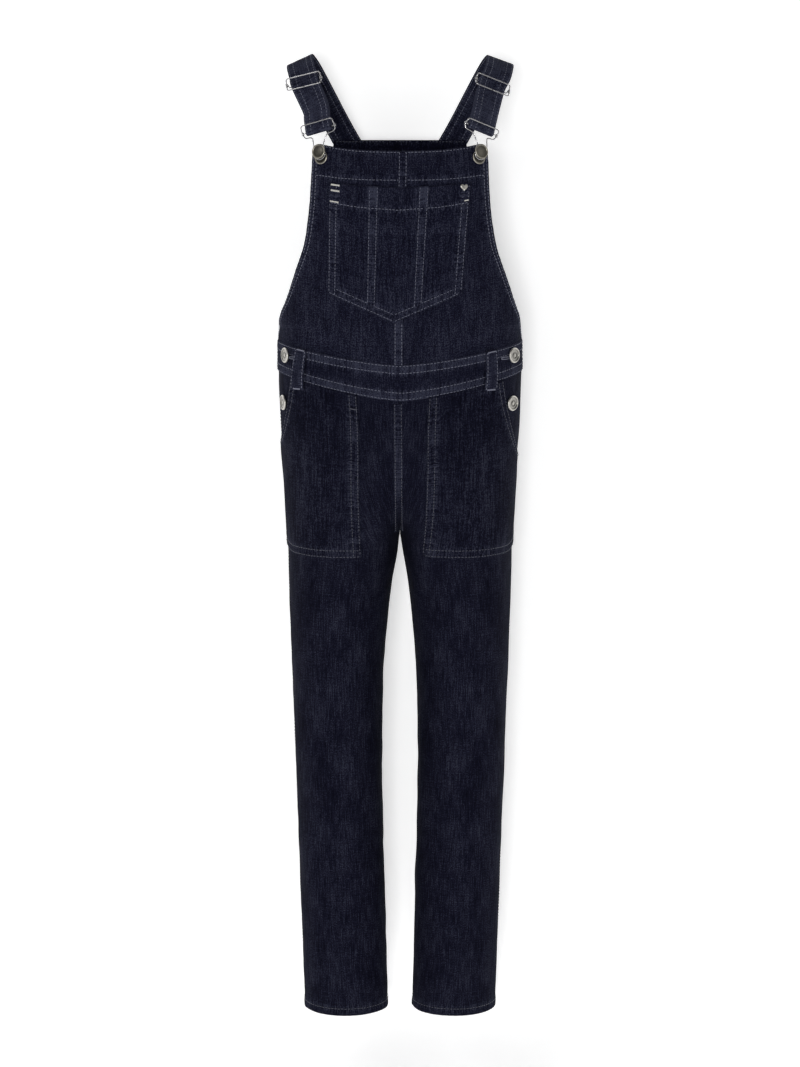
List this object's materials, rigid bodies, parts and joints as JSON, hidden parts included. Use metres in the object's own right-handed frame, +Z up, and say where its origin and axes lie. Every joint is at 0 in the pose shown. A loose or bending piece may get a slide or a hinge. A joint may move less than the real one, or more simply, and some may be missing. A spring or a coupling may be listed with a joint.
{
  "type": "denim bib overalls",
  "caption": "Child's denim bib overalls filled out on a hollow form, with wide shoulder straps on wire clips, a pointed bib pocket and straight legs.",
  "frame": {"origin": "midway between the two straps, at the height of the shoulders that they hang on", "axes": "+Z up, the front faces -Y, and the wearer's left is at +X"},
  "size_m": [0.2656, 0.1914, 1.0639],
  "materials": {
    "denim": "matte, unwashed indigo twill",
    "nickel_wire": "nickel plated, bright",
    "antique_nickel": "dark nickel, satin",
    "silver_plate": "silver, satin"
  },
  "bodies": {
    "root": {"front_leg_left": "denim", "front_leg_right": "denim", "back_leg_left": "denim", "back_leg_right": "denim", "bib_left": "denim", "bib_right": "denim", "back_bib": "denim", "waistband_front": "denim", "waistband_back": "denim", "bib_pocket_left": "denim", "bib_pocket_middle": "denim", "bib_pocket_right": "denim", "hip_pocket_left": "denim", "hip_pocket_right": "denim", "belt_loop_left": "denim", "belt_loop_right": "denim", "button_stand_left": "denim", "button_stand_right": "denim", "strap_left": "denim", "strap_right": "denim", "slider_frame_left": "nickel_wire", "slider_frame_right": "nickel_wire", "slider_bar_left": "nickel_wire", "slider_bar_right": "nickel_wire", "clip_frame_left": "nickel_wire", "clip_frame_right": "nickel_wire", "clip_bar_left": "nickel_wire", "clip_bar_right": "nickel_wire", "bib_button_left": "antique_nickel", "bib_button_right": "antique_nickel", "side_button_band_left": "silver_plate", "side_button_band_right": "silver_plate", "side_button_leg_left": "silver_plate", "side_button_leg_right": "silver_plate", "heart_stud": "silver_plate"}
  },
  "joints": []
}
